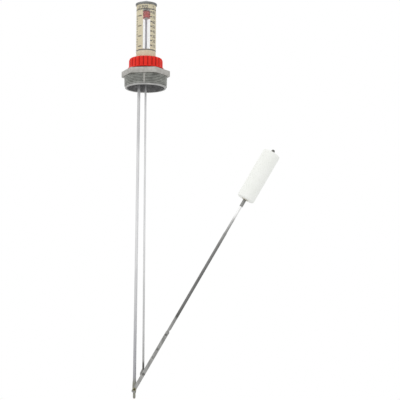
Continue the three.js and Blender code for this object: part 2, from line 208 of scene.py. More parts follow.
def thread_skin(low, high, crest, depth, pitch, taper=0.0):
    """A right-hand thread's skin between two heights, open at both ends."""
    bm = bmesh.new()
    steps = 72
    root = crest - depth
    outline = ((root, 0.0), (root, 0.06), (crest, 0.46), (crest, 0.6), (root, 1.0))
    verts = [bm.verts.new((radius * MM, 0, (low + (share - 1.5) * pitch) * MM))
             for radius, share in outline]
    for pair in zip(verts, verts[1:]):
        bm.edges.new(pair)
    turns = math.ceil((high - low) / pitch) + 3
    bmesh.ops.spin(bm, geom=bm.verts[:] + bm.edges[:], cent=(0, 0, 0), axis=(0, 0, 1),
                   dvec=(0, 0, pitch * MM / steps), angle=FULL * turns, steps=steps * turns)
    bmesh.ops.remove_doubles(bm, verts=bm.verts, dist=2e-6)
    for v in bm.verts:
        radius = math.hypot(v.co.x, v.co.y)
        v.co.xy *= (radius + v.co.z * taper) / radius
    for height, side in ((low, "clear_inner"), (high, "clear_outer")):
        bmesh.ops.bisect_plane(bm, geom=bm.verts[:] + bm.edges[:] + bm.faces[:], dist=1e-7,
                               plane_co=(0, 0, height * MM), plane_no=(0, 0, 1), **{side: True})
    return bm


def swept(radius, path, segments):
    """A round bar along a path of points in metres, with flat ends."""
    bm = bmesh.new()
    points = [Vector(p) for p in path]
    runs = [(b - a).normalized() for a, b in zip(points, points[1:])]
    ways = [runs[0]] + [(a + b).normalized() for a, b in zip(runs, runs[1:])] + [runs[-1]]
    tilt = Vector((0, 0, 1)).rotation_difference(ways[0]).to_matrix().to_4x4()
    bmesh.ops.create_circle(bm, cap_ends=True, segments=segments, radius=radius * MM,
                            matrix=Matrix.Translation(points[0]) @ tilt)
    loop = bm.edges[:]
    for here, there, way, onward in zip(points, points[1:], ways, ways[1:]):
        fresh, loop = extruded(bm, loop)
        turn = way.rotation_difference(onward).to_matrix()
        for v in fresh:
            v.co = there + turn @ (v.co - here)
    bmesh.ops.edgeloop_fill(bm, edges=loop)
    return tidy(bm)


def pillow(turn, height, wide, deep, square):
    """A point of a rounded rectangle: squareness 2 is an ellipse, and more is boxier."""
    power = 2 / square
    x = math.copysign(abs(math.cos(turn)) ** power, math.cos(turn))
    y = math.copysign(abs(math.sin(turn)) ** power, math.sin(turn))
    return Vector((wide * MM * x, deep * MM * y, height * MM))


def drum(stations, segments):
    """A closed bar up Z of [height, half width X, half width Y, squareness] stations."""
    bm = bmesh.new()
    bmesh.ops.create_circle(bm, cap_ends=True, segments=segments, radius=MM)
    loop = bm.edges[:]
    fresh = set(bm.verts)
    turns = {v: math.atan2(v.co.y, v.co.x) for v in fresh}
    for index, station in enumerate(stations):
        if index:
            fresh, loop = extruded(bm, loop)
            for v in fresh:
                below = [e.other_vert(v) for e in v.link_edges if e not in loop]
                turns[v] = next(turns[w] for w in below if w not in fresh)
        for v in fresh:
            v.co = pillow(turns[v], *station)
    bmesh.ops.edgeloop_fill(bm, edges=loop)
    return tidy(bm)


def hex_loop(flats, corner, cuts, turn):
    """A hexagon's outline with rounded corners, as a bare loop."""
    bm = bmesh.new()
    place = Matrix.Rotation(turn + math.pi / 2, 4, "Z")
    bmesh.ops.create_circle(bm, cap_ends=False, segments=6, matrix=place,
                            radius=flats * MM / 2 / math.cos(math.pi / 6))
    bmesh.ops.bevel(bm, geom=bm.verts[:], offset=corner * MM * math.tan(math.pi / 6),
                    segments=6, profile=0.5, affect="VERTICES", material=-1)
    sides = [e for e in bm.edges if e.calc_length() > flats * MM / 4]
    bmesh.ops.subdivide_edges(bm, edges=sides, cuts=cuts)
    return bm


def raise_loop(bm, loop, height):
    """Carries an open rim straight up, and returns the new rim."""
    fresh, onward = extruded(bm, loop)
    for v in fresh:
        v.co.z = height * MM
    return onward


def hex_ring(flats, corner, low, high, inside, cuts=10, turn=0.0, soften=0.5):
    """A hexagonal ring: inside is its bore's [radius, height] stations from the top down."""
    bm = hex_loop(flats, corner, cuts, turn)
    bmesh.ops.translate(bm, verts=bm.verts, vec=(0, 0, low * MM))
    first = bm.edges[:]
    top = raise_loop(bm, first, high)
    edges_to_soften = first + top
    last = walk(bm, top, inside)
    bmesh.ops.bridge_loops(bm, edges=first + last)
    bmesh.ops.recalc_face_normals(bm, faces=bm.faces)
    bmesh.ops.bevel(bm, geom=edges_to_soften, offset=soften * MM, segments=3, profile=0.5,
                    affect="EDGES", material=-1)
    return tidy(bm)


def across(bm, turn=math.pi / 2):
    """Lays a shell built up Z along Y, its top towards the front unless turned the other way."""
    bmesh.ops.rotate(bm, verts=bm.verts, matrix=Matrix.Rotation(turn, 3, "X"))
    return bm


def headed(radius, head, front, back, grip, eye=0.0):
    """A pin along Y with a domed head at each end: grip is half the length between them."""
    dome = [(head, 0), (head * 0.9, 0.45), (head * 0.55, 0.88), (0, 1)]
    lower = [(wide, -grip - front * rise) for wide, rise in reversed(dome)]
    upper = [(wide, grip + back * rise) for wide, rise in dome]
    profile = [*lower, (radius, -grip), (radius, grip), *upper]
    if eye:
        hollow = [(0, 0.7), (eye * 0.85, 0.7), (eye, 0.08)]
        profile = ([(wide, -grip - front + deep) for wide, deep in hollow] + profile[1:-1]
                   + [(wide, grip + back - deep) for wide, deep in reversed(hollow)])
    bm = turned(profile, 32)
    for face in bm.faces:
        middle = face.calc_center_median() / MM
        # Painted shade: faces inside the eye take the piece's second, dark material.
        if eye and math.hypot(middle.x, middle.y) < eye:
            face.material_index = 1
    return across(bm)


def washer(inner, outer, low, high, segments=48):
    profile = [(inner, low), (outer, low), (outer, high), (inner, high)]
    return turned(profile, segments, soften=0.12)


# ---------- finishes ----------
class Finish:
    """A material under construction: its shader, and the patterns that feed it."""

    def __init__(self, name, **sockets):
        self.material = bpy.data.materials.new(name)
        self.material.use_nodes = True
        self.tree = self.material.node_tree
        self.shader = self.tree.nodes["Principled BSDF"]
        self.place = self.tree.nodes.new("ShaderNodeTexCoord").outputs["Object"]
        for socket, value in sockets.items():
            self.shader.inputs[socket.replace("_", " ")].default_value = value

    def node(self, kind, links=(), **settings):
        made = self.tree.nodes.new(kind)
        for setting, value in settings.items():
            setattr(made, setting, value)
        for socket, source in links:
            if hasattr(source, "links"):
                self.tree.links.new(source, made.inputs[socket])
            else:
                made.inputs[socket].default_value = source
        return made

    def noise(self, scale, detail=3.0, stretch=(1, 1, 1)):
        """Noise with a feature size of about 1/scale metres."""
        at = self.node("ShaderNodeMapping", [("Vector", self.place), ("Scale", stretch)])
        made = self.node("ShaderNodeTexNoise", [("Vector", at.outputs["Vector"]), ("Scale", scale),
                                                ("Detail", detail)])
        return made.outputs["Fac"]

    def blend(self, share, stops):
        """Turns a pattern into colours or greys, from [position, value] stops."""
        made = self.node("ShaderNodeValToRGB", [("Fac", share)])
        ramp = made.color_ramp
        while len(ramp.elements) < len(stops):
            ramp.elements.new(0.5)
        for element, (position, value) in zip(ramp.elements, stops):
            element.position = position
            element.color = (*value, 1) if hasattr(value, "__len__") else (value, value, value, 1)
        return made.outputs["Color"]

    def feed(self, socket, source):
        self.tree.links.new(source, self.shader.inputs[socket])
        return self

    def grain(self, heights, strength, distance=0.0001):
        """Raises fine relief from a pattern."""
        made = self.node("ShaderNodeBump", [("Height", heights), ("Strength", strength),
                                            ("Distance", distance)])
        return self.feed("Normal", made.outputs["Normal"])


def two_tone(finish, scale, low, high, detail=4.0, stretch=(1, 1, 1)):
    """Mottles a finish's colour between two tones."""
    return finish.feed("Base Color", finish.blend(finish.noise(scale, detail, stretch),
                                                  [(0.3, low), (0.7, high)]))


def alloy(name, low, high, rough, bump=0.35):
    f = Finish(name, Metallic=0.7, IOR=1.5)
    two_tone(f, 170, low, high)
    f.feed("Roughness", f.blend(f.noise(420, 2), [(0.3, rough), (0.75, rough + 0.16)]))
    return f.grain(f.noise(1900, 3), bump, 0.00012).material


def streaked(f, rough):
    """Adds the fine streaks that drawing leaves along steel, and returns the material."""
    streaks = f.noise(700, 2, (1, 1, 0.1))
    f.feed("Roughness", f.blend(streaks, [(0.3, rough), (0.8, rough + 0.16)]))
    return f.grain(f.noise(3200, 2, (1, 1, 0.05)), 0.12, 0.00005).material


def drawn_steel(name, low, high, rough):
    f = Finish(name, Metallic=0.8)
    two_tone(f, 260, low, high, 4, (1, 1, 0.12))
    return streaked(f, rough)


def painted_light_bar_steel(name, stops):
    """Drawn bar with painted shade and painted reflection along it, darker towards its foot: stops
    are [height in metres, tone].
    """
    f = Finish(name, Metallic=0.8)
    at = f.node("ShaderNodeSeparateXYZ", [("Vector", f.place)])
    low, high = stops[0][0], stops[-1][0]
    run = f.node("ShaderNodeMapRange", [("Value", at.outputs["Z"]), ("From Min", low),
                                        ("From Max", high)])
    tone = f.blend(run.outputs["Result"], [((z - low) / (high - low), tone) for z, tone in stops])
    streak = f.blend(f.noise(260, 4, (1, 1, 0.12)), [(0.3, (0.88, 0.88, 0.89)), (0.7, 1)])
    mixed = f.node("ShaderNodeMix", [(6, tone), (7, streak), (0, 1.0)], data_type="RGBA",
                   blend_type="MULTIPLY")
    f.feed("Base Color", mixed.outputs[2])
    return streaked(f, 0.42)


def arm_rod_steel():
    """Dull dark steel whose tone changes along the arm from the pivot, bright just short of the
    float.
    """
    f = Finish("arm_rod_steel", Metallic=0.8)
    way = ARM.to_3x3() @ Vector((0, 0, 1))
    moved = f.node("ShaderNodeVectorMath", [(0, f.place), (1, tuple(PIVOT))], operation="SUBTRACT")
    run = f.node("ShaderNodeVectorMath", [(0, moved.outputs["Vector"]), (1, tuple(way))],
                 operation="DOT_PRODUCT")
    wander = f.node("ShaderNodeMath", [(0, f.noise(60, 3)), (1, 0.03), (2, run.outputs["Value"])],
                    operation="MULTIPLY_ADD")
    share = f.node("ShaderNodeMapRange", [("Value", wander.outputs[0]), ("From Min", 0.105),
                                          ("From Max", 0.325)])
    f.feed("Base Color", f.blend(share.outputs["Result"], [
        (0, (0.36, 0.36, 0.35)), (0.07, (0.3, 0.3, 0.29)), (0.11, (0.11, 0.11, 0.105)),
        (0.2, (0.17, 0.17, 0.165)), (0.3, (0.18, 0.18, 0.175)), (0.38, (0.14, 0.14, 0.135)),
        (0.48, (0.19, 0.19, 0.185)), (0.64, (0.2, 0.2, 0.195)), (0.755, (0.32, 0.32, 0.31)),
        (0.86, (0.85, 0.85, 0.84))]))
    return streaked(f, 0.34)


def moulded(name, low, high, rough, gloss=0.5, scale=90):
    f = Finish(name, Specular_IOR_Level=gloss)
    two_tone(f, scale, low, high)
    f.feed("Roughness", f.blend(f.noise(600, 2), [(0.3, rough), (0.8, rough + 0.12)]))
    return f.grain(f.noise(2400, 2), 0.08, 0.00005).material


def clear_plastic():
    f = Finish("sight_clear", Roughness=0.05, IOR=1.49, Alpha=0.075)
    two_tone(f, 60, (0.8, 0.83, 0.82), (0.88, 0.9, 0.89))
    f.grain(f.noise(240, 2), 0.04, 0.00006)
    return f.material


ALLOY = alloy("cast_alloy", (0.31, 0.315, 0.295), (0.5, 0.51, 0.48), 0.45)
HEX_FACE = alloy("hexagon_alloy", (0.37, 0.36, 0.335), (0.5, 0.49, 0.46), 0.42, 0.2)
RIM_ALLOY = alloy("turned_alloy", (0.38, 0.38, 0.37), (0.48, 0.48, 0.465), 0.4, 0.1)
# Painted shade: a darker copy of the cast alloy for the inside of the casting's hollow.
HOLLOW_SHADE_ALLOY = alloy("hollow_painted_shade_alloy", (0.2, 0.2, 0.2), (0.36, 0.36, 0.36), 0.6, 0.5)
STEEL = drawn_steel("drawn_steel", (0.5, 0.5, 0.505), (0.64, 0.64, 0.645), 0.42)
# Painted light along the strut: painted shade at its top, where it runs up into the casting's
# hollow, a painted reflection bright along its middle, and darker towards its foot.
STRUT_STEEL = painted_light_bar_steel("strut_steel", [
    (-0.46, (0.3, 0.3, 0.25)), (-0.43, (0.3, 0.3, 0.25)), (-0.42, (0.38, 0.38, 0.4)),
    (-0.39, (0.46, 0.46, 0.48)), (-0.32, (0.65, 0.65, 0.655)), (-0.2, 0.81), (-0.11, 0.74),
    (-0.085, 0.64), (-0.05, 0.63), (-0.02, 0.66), (-0.012, 0.4), (0.015, 0.3)])
# Painted light along the pull rod: a painted shadow band by the link pin, painted shade where it
# passes into the casting, brighter along its middle, and a bluish tone inside the sight tube.
LINK_STEEL = painted_light_bar_steel("link_steel", [
    (-0.43, (0.36, 0.36, 0.34)), (-0.412, (0.36, 0.36, 0.34)), (-0.408, (0.13, 0.13, 0.12)),
    (-0.402, (0.13, 0.13, 0.12)), (-0.398, (0.47, 0.47, 0.46)), (-0.36, (0.58, 0.58, 0.575)),
    (-0.22, 0.76), (-0.12, 0.76), (-0.02, 0.64), (-0.01, 0.42), (0.01, 0.42),
    (0.035, (0.54, 0.53, 0.57)), (0.09, (0.5, 0.48, 0.54))])
ARM_STEEL = drawn_steel("arm_steel", (0.26, 0.26, 0.25), (0.46, 0.46, 0.445), 0.38)
ROD_STEEL = arm_rod_steel()
PIVOT_STEEL = drawn_steel("plated_steel", (0.24, 0.23, 0.15), (0.38, 0.37, 0.27), 0.38)
SLEEVE_STEEL = drawn_steel("sleeve_steel", (0.24, 0.24, 0.23), (0.36, 0.36, 0.35), 0.42)
RIVET_STEEL = drawn_steel("rivet_steel", (0.13, 0.13, 0.12), (0.22, 0.22, 0.205), 0.42)
# Painted shade: near-black for the inside of the pivot rivet's hollow eye.
EYE_SHADE_STEEL = drawn_steel("eyelet_painted_shade", (0.07, 0.06, 0.03), (0.12, 0.11, 0.06), 0.5)
DARK_STEEL = drawn_steel("dark_steel", (0.035, 0.035, 0.03), (0.09, 0.09, 0.08), 0.4)
RING_RED = moulded("ring_red", (0.68, 0.014, 0.006), (0.82, 0.028, 0.014), 0.36, 0.2)
# Painted shade: a darker red for the bottoms of the ring's flutes and the gap under its lip.
RING_SHADE = moulded("ring_groove_painted_shade", (0.36, 0.006, 0.003), (0.46, 0.01, 0.006), 0.5, 0.15)
BUTTON_RED = moulded("indicator_red", (0.56, 0.03, 0.025), (0.7, 0.055, 0.045), 0.4, 0.3)
CLEAR = clear_plastic()
CAP_GREY = moulded("cap_grey", (0.1, 0.103, 0.1), (0.25, 0.255, 0.25), 0.3)
CAP_PALE = moulded("cap_boss", (0.62, 0.63, 0.66), (0.74, 0.75, 0.78), 0.3)
CREAM = moulded("scale_cream", (0.62, 0.54, 0.345), (0.7, 0.62, 0.415), 0.55, 0.2, 220)
PAPER = moulded("scale_white", (0.84, 0.84, 0.83), (0.9, 0.9, 0.89), 0.6, 0.2, 220)
INK = moulded("scale_ink", (0.025, 0.02, 0.015), (0.07, 0.05, 0.04), 0.6, 0.1, 400)
FOAM = moulded("float_white", (0.89, 0.905, 0.86), (0.93, 0.94, 0.91), 0.6, 0.2, 70)
NYLON = moulded("nylon_white", (0.62, 0.59, 0.5), (0.7, 0.67, 0.58), 0.45, 0.4, 140)
RUBBER = moulded("gasket_rubber", (0.02, 0.02, 0.02), (0.045, 0.045, 0.045), 0.7, 0.3, 200)


# ---------- bung ----------
def bung_casting():
    low, high = heights("bung_body")
    crest, depth, pitch, taper = 30.4, 1.7, 2.209, 1 / 32
    cavity, bush = 26.5, reach("rod_guide_bush") - 0.5
    flats, turn = 60.5, math.radians(-7.2)
    shoulder, neck_bore = 20, 15.5
    hexagon, rim_band, hollow = 1, 2, 3
    whole = bmesh.new()

    lead, last_turn = low + 2.1, -0.5
    band = crest + low * taper - 0.9
    skirt = thread_skin(lead, last_turn, crest, depth, pitch, taper)
    last = walk(skirt, rim(skirt, last_turn), [
        (crest - depth, 0.4), (crest - depth, 6), (shoulder, HEX_TOP), (bush, HEX_TOP),
        (bush, 1.5), (5.6, 1.5), (5.7, 3.3), (6.4, ROOF), (24.4, ROOF), (25.9, 3.3),
        (cavity, 1.8), (cavity, low + 0.3), (cavity + 0.3, low), (band - 0.5, low),
        (band - 0.1, low + 0.15), (band, low + 0.5), (band, lead - 0.3)])
    bmesh.ops.bridge_loops(skirt, edges=last + rim(skirt, lead))
    for face in skirt.faces:
        middle = face.calc_center_median() / MM
        radius = math.hypot(middle.x, middle.y)
        # Painted shade: faces inside the hollow, under its roof, take the dark hollow alloy.
        if radius < cavity + 0.1 and middle.z < ROOF + 0.1:
            face.material_index = hollow
        elif middle.z < lead - 0.2:
            face.material_index = rim_band
    add(whole, tidy(skirt))

    first, final = 11, high - 0.8
    neck = thread_skin(first, final, 21, 0.8, 2.5)
    top = walk(neck, rim(neck, final), [
        (20.1, high), (neck_bore + 0.5, high), (neck_bore, high - 0.5), (neck_bore, 6.5)])
    foot = walk(neck, rim(neck, first), [(20.3, 10.4), (20.3, 8.6), (20.9, 7.6), (20.9, 6.5)])
    bmesh.ops.bridge_loops(neck, edges=top + foot)
    add(whole, tidy(neck))

    flange = hex_ring(flats, 3, SEAT, HEX_TOP, [
        (shoulder, HEX_TOP), (shoulder, 5.2), (27.6, 5.2), (27.6, SEAT)], turn=turn)
    add(whole, paint(flange, hexagon))
    # The strut's boss stands in the hollow and takes the same painted shade.
    boss = turned([(0, 1.5), (5.2, 1.5), (5.6, 1.9), (5.8, 3.6), (6.6, 5), (0, 5)], 48)
    add(whole, paint(boss, hollow), Matrix.Translation((STRUT_HEAD.x, 0, 0)))

    parting = math.radians(4.3)
    for side in (0, math.pi):
        for radius, middle, tall, lean in ((crest - 1.75, -7.4, 14, taper),
                                           (crest - 1.05, 4, 7.2, 0)):
            flash = bmesh.new()
            bmesh.ops.create_cube(flash, size=1,
                                  matrix=Matrix.Diagonal((2.4 * MM, 2.2 * MM, tall * MM, 1)))
            bmesh.ops.bevel(flash, geom=flash.edges[:], offset=0.6 * MM, segments=3, profile=0.5,
                            affect="EDGES", material=-1)
            place = (Matrix.Rotation(side - math.pi / 2 - parting, 4, "Z")
                     @ Matrix.Translation((radius * MM, 0, middle * MM))
                     @ Matrix.Rotation(math.atan(lean), 4, "Y"))
            add(whole, paint(flash, hexagon), place)
    finished("bung_casting", whole, [ALLOY, HEX_FACE, RIM_ALLOY, HOLLOW_SHADE_ALLOY], "bung",
             ["bung_body"])


def bung_fittings():
    seal = washer(15.8, reach("collar_gasket"), *heights("collar_gasket"), 96)
    finished("collar_seal", seal, [RUBBER], "bung", ["collar_gasket"])
    low, high = heights("rod_guide_bush")
    wide, bore, under = reach("rod_guide_bush"), 1.7, HEX_TOP + 0.1
    bush = turned([(bore, low), (wide - 0.8, low), (wide - 0.8, under), (wide, under), (wide, high),
                   (bore, high)], 48, 0.2)
    finished("guide_bush", bush, [NYLON], "bung", ["rod_guide_bush"])


# ---------- strut and pivot ----------
def strut():
    """A round bar whose foot is pressed flat for the pivot."""
    low, high = along("support_strut", STRUT)
    low += 0.01
    bar, tail, tang = 2.1, 1.8, 1.5
    stations = [
        (low, tail * 0.35, 1.1, 2.4), (low + 0.5, tail * 0.75, 1.4, 2.8),
        (low + 1.6, tail, tang, 3.6), (-5.5, tail, tang, 4), (-2.6, 2.6, tang, 4),
        (5, 2.7, tang, 4), (9, 2.55, 1.6, 3.2), (13, 2.2, 1.95, 2.3), (17, bar, bar, 2),
        (high - 0.4, bar, bar, 2), (high, bar - 0.4, bar - 0.4, 2)]
    finished("strut_bar", placed(drum(stations, 40), STRUT), [STRUT_STEEL], "bung",
             ["support_strut"])


def hex_nut(flats, bore, low, high):
    inside = [(bore + 0.3, high), (bore, high - 0.3), (bore, low + 0.3), (bore + 0.3, low)]
    return hex_ring(flats, 0.4, low, high, inside, cuts=4, soften=0.35)


def strut_fixings():
    for node, name in (("strut_nut", "strut_top_nut"), ("strut_jam_nut", "strut_under_nut")):
        nut = hex_nut(7, 2.15, *along(node, STRUT))
        finished(name, placed(nut, STRUT), [STEEL], "bung", [node])
    disc = washer(2.2, 4, *along("strut_lock_washer", STRUT))
    finished("strut_washer", placed(disc, STRUT), [STEEL], "bung", ["strut_lock_washer"])


def pivot_fixings():
    front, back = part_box("pivot_rivet")
    grip = 3.4
    rivet = headed(1.5, 2.6, -front.y / MM - grip, back.y / MM - grip, grip, eye=1.35)
    place = Matrix.Translation(PIVOT)
    finished("pivot_pin", placed(rivet, place), [PIVOT_STEEL, EYE_SHADE_STEEL], "bung", ["pivot_rivet"])
    for node in ("pivot_washer_front", "pivot_washer_rear"):
        low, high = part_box(node)
        disc = across(washer(1.7, 2.9, low.y / MM, high.y / MM, 32), -math.pi / 2)
        finished(node + "_disc", placed(disc, place), [STEEL], "bung", [node])


# ---------- lock ring and slip washer ----------
def lock_ring():
    low, high = heights("lock_ring")
    lip = reach("lock_ring")
    body, bore, neck = lip - 1.7, 21.3, 15.3
    ceiling = high - 3.6
    flutes, start = 24, math.radians(-90 - 8.2)
    wall = fluted(flutes, 1.1, 2.4, start)
    shade = 1

    bm = bmesh.new()
    bmesh.ops.create_circle(bm, cap_ends=False, segments=flutes * 12, radius=bore * MM,
                            matrix=Matrix.Translation((0, 0, low * MM)))
    walk(bm, bm.edges[:], [
        (lip - 0.5, low), (lip - 0.1, low + 0.12), (lip, low + 0.4), (lip, low + 1.2),
        (lip - 0.3, low + 1.5), (wall(body + 0.25, 0.2), low + 1.75), (wall(body), low + 2.2),
        (wall(body), low + 3), (wall(body), high - 4.2), (wall(body - 0.15), high - 3),
        (wall(body - 0.55, 0.95), high - 1.8), (wall(body - 1.2, 0.8), high - 0.8),
        (wall(body - 1.9, 0.5), high - 0.25), (body - 2.7, high), (neck + 0.4, high),
        (neck, high - 0.3), (neck, ceiling), (bore, ceiling), (bore, low)])
    # Painted shade: the flute bottoms and the underside of the lip take the darker red.
    for face in bm.faces:
        middle = face.calc_center_median() / MM
        turn = math.atan2(middle.y, middle.x)
        radius = math.hypot(middle.x, middle.y)
        in_groove = math.cos(flutes * (turn - start)) > 0.6 and body - 2.2 < radius < body + 0.2
        under_lip = middle.z < low + 0.45 and radius > body
        if (in_groove and middle.z > low + 1.9) or under_lip:
            face.material_index = shade
    finished("ring_shell", bm, [RING_RED, RING_SHADE], "lock_ring", ["lock_ring"],
             math.radians(50))


def slip_washer():
    disc = washer(15.5, reach("slip_washer"), *heights("slip_washer"), 96)
    finished("slip_disc", disc, [NYLON], "ring_carrier", ["slip_washer"])


# ---------- sight glass ----------
def sight_glass():
    low, high = heights("sight_tube")
    flange, tube, bore = reach("sight_tube"), 14.9, 14.1
    profile = [(bore, low), (flange, low), (flange, low + 2.2), (tube + 0.9, low + 2.2),
               (tube, low + 3.1), (tube, high), (bore, high)]
    finished("clear_tube", turned(profile, 128, 0.25), [CLEAR], "sight_glass", ["sight_tube"])
    low, high = heights("sight_cap")
    wide, plug = reach("sight_cap"), LABEL_RADIUS - 0.7
    rise, nib, flutes = 5, 5, 32
    shoulder = high - rise
    under = shoulder - 3.1
    wall = fluted(flutes, 0.6, 1.6)
    boss = 1

    cap = bmesh.new()
    bmesh.ops.create_circle(cap, cap_ends=True, segments=flutes * 8, radius=(plug - 0.3) * MM,
                            matrix=Matrix.Translation((0, 0, low * MM)))
    dome = [(nib * math.cos(a), shoulder + rise * math.sin(a))
            for a in (math.radians(d) for d in range(0, 90, 15))]
    last = walk(cap, cap.edges[:], [
        (plug, low + 0.3), (plug, under), (wide - 0.9, under), (wall(wide - 0.2, 0.8), under + 0.1),
        (wall(wide), under + 0.4), (wall(wide), shoulder - 1),
        (wall(wide - 0.3, 0.8), shoulder - 0.3), (wide - 1.2, shoulder), (nib + 0.6, shoulder),
        *dome])
    crown = bmesh.ops.edgeloop_fill(cap, edges=last)["faces"]
    bmesh.ops.poke(cap, faces=crown)
    for v in cap.verts:
        if v.co.z > shoulder * MM and math.hypot(v.co.x, v.co.y) < 1e-6:
            v.co.z = high * MM
    for face in cap.faces:
        middle = face.calc_center_median() / MM
        if middle.z > shoulder + 0.02:
            face.material_index = boss
    finished("end_cap", cap, [CAP_GREY, CAP_PALE], "sight_glass", ["sight_cap"])


def scale_sleeve():
    """The rolled scale: cream outside, white inside, a window in its front and its seam behind."""
    low, high = heights("scale_label")
    wall = 0.4
    bm = bmesh.new()
    left, right = (math.radians(side) for side in WINDOW_SIDES)
    seam = math.radians(180 - SEAM_HALF)
    turns = [seam]
    for first, last, count in ((-seam, left, 28), (left, right, 12), (right, seam, 28)):
        turns += [first + (last - first) * n / count for n in range(count)]
    turns.sort()
    verts = [bm.verts.new((t, 0, low * MM)) for t in turns]
    loop = [bm.edges.new(pair) for pair in zip(verts, verts[1:])]
    for height in (*WINDOW, high):
        loop = raise_loop(bm, loop, height)
    opening = []
    for face in bm.faces:
        middle = face.calc_center_median()
        if left < middle.x < right and WINDOW[0] < middle.z / MM < WINDOW[1]:
            opening.append(face)
    bmesh.ops.delete(bm, geom=opening, context="FACES")
    made = bmesh.ops.extrude_face_region(bm, geom=bm.faces[:], use_keep_orig=True)["geom"]
    inner = {g for g in made if isinstance(g, bmesh.types.BMVert)}
    for face in bm.faces:
        face.material_index = int(all(v in inner for v in face.verts))
    for v in bm.verts:
        turn, radius = v.co.x, (LABEL_RADIUS - (wall if v in inner else 0)) * MM
        v.co.x, v.co.y = radius * math.sin(turn), -radius * math.cos(turn)
    finished("scale_sleeve", bm, [CREAM, PAPER], "sight_glass", ["scale_label"])


def wrapped(bm, turn, height):
    """Bends flat work in the XY plane on to the scale, centred at a turn in degrees."""
    lift, depth = 0.015, 0.03
    for v in bm.verts:
        angle = math.radians(turn) + v.co.x / (LABEL_RADIUS * MM)
        radius = (LABEL_RADIUS + lift) * MM + (depth * MM if v.co.z > 0 else 0)
        v.co = (radius * math.sin(angle), -radius * math.cos(angle), height * MM + v.co.y)
    return bm


def dash(whole, turn, height, long, thick, cuts=5):
    """Prints a straight mark round the scale."""
    bm = bmesh.new()
    bmesh.ops.create_cube(bm, size=1, matrix=Matrix.Diagonal((long * MM, thick * MM, MM, 1)))
    ends = [e for e in bm.edges if abs(e.verts[0].co.x - e.verts[1].co.x) > 0.5 * long * MM]
    bmesh.ops.subdivide_edges(bm, edges=ends, cuts=cuts, use_grid_fill=True)
    add(whole, wrapped(bm, turn, height))


def lettering(whole, words, turn, height, size, weight):
    """Prints figures or a word: size and the weight added to their outline are in millimetres."""
    text = bpy.data.curves.new("figures", "FONT")
    text.body = words
    text.size = size * MM
    text.align_x = "CENTER"
    text.align_y = "CENTER"
    text.extrude = 0.01 * MM
    text.resolution_u = 2
    text.offset = weight * MM
    holder = bpy.data.objects.new("figures", text)
    bpy.context.scene.collection.objects.link(holder)
    bpy.context.view_layer.update()
    mesh = bpy.data.meshes.new_from_object(holder)
    bm = bmesh.new()
    bm.from_mesh(mesh)
    bpy.data.objects.remove(holder)
    bpy.data.meshes.remove(mesh)
    bpy.data.curves.remove(text)
    bmesh.ops.remove_doubles(bm, verts=bm.verts, dist=1e-6)
    add(whole, wrapped(bm, turn, height))


def scale_printing():
    """Black rules, graduations and plain figures on the cream scale."""
    low, high = WINDOW
    whole = bmesh.new()
    for height in (low - 1.0, high + 0.9):
        dash(whole, 0, height, LABEL_RADIUS * math.radians(288), 1.6, cuts=71)
    first, last, count = 91.7, 43.3, 8
    spacing = (first - last) / (count - 1)
    for index in range(count):
        height = first - index * spacing
        dash(whole, 31.5, height, 3.2, 1.7)
        lettering(whole, str(10 * (count - index)), 53, height - 0.6, 6.4, 0.13)
    full, empty, marks, parts = 86.3, 42.2, 4, 4
    between = (full - empty) / (marks - 1)
    for index in range(marks):
        height = full - index * between
        dash(whole, -41, height, 6.2, 1.6)
        lettering(whole, str(marks - index), -68, height, 6.0, 0.1)
        if index < marks - 1:
            for part in range(1, parts):
                dash(whole, -66, height - part * between / parts, 3, 1.2)
    heading = 98.9
    lettering(whole, "LITRES", -24, heading, 6.0, 0.16)
    lettering(whole, "%", 48, heading, 6.0, 0.14)
    finished("scale_printing", whole, [INK], "sight_glass", ())


# ---------- actuating rod and indicator ----------
def actuating_rod():
    radius = 1.4
    high = heights("actuating_rod")[1]
    base = LINK.z / MM
    hook = [(0, 10), (0, 8), (-0.35, 6.6), (-1.1, 5.1), (-1.9, 3.7), (-2.65, 2.3), (-3.05, 1.1),
            (-3.15, 0), (-3.15, -1.2)]
    path = [(0, 0, high * MM)] + [(x * MM, 0, (base + z) * MM) for x, z in hook]
    finished("pull_rod", swept(radius, path, 28), [LINK_STEEL], "indicator_rod", ["actuating_rod"])


def indicator():
    low, high = heights("indicator_button")
    wide, bore = reach("indicator_button"), 1.5
    rib = [(wide, low + 1.2), (wide, low + 3), (wide - 0.5, low + 3.4), (wide - 0.5, high - 3.4),
           (wide, high - 3), (wide, high - 1.2)]
    button = turned([(bore, low), (wide - 1.2, low), *rib, (wide - 1.2, high), (bore, high)],
                    64, 0.25)
    finished("indicator_knob", button, [BUTTON_RED], "indicator_rod", ["indicator_button"])
    for node, name in (("indicator_nut", "knob_nut_upper"),
                       ("indicator_jam_nut", "knob_nut_lower")):
        nut = hex_nut(5.5, 1.45, *heights(node))
        finished(name, nut, [STEEL], "indicator_rod", [node])


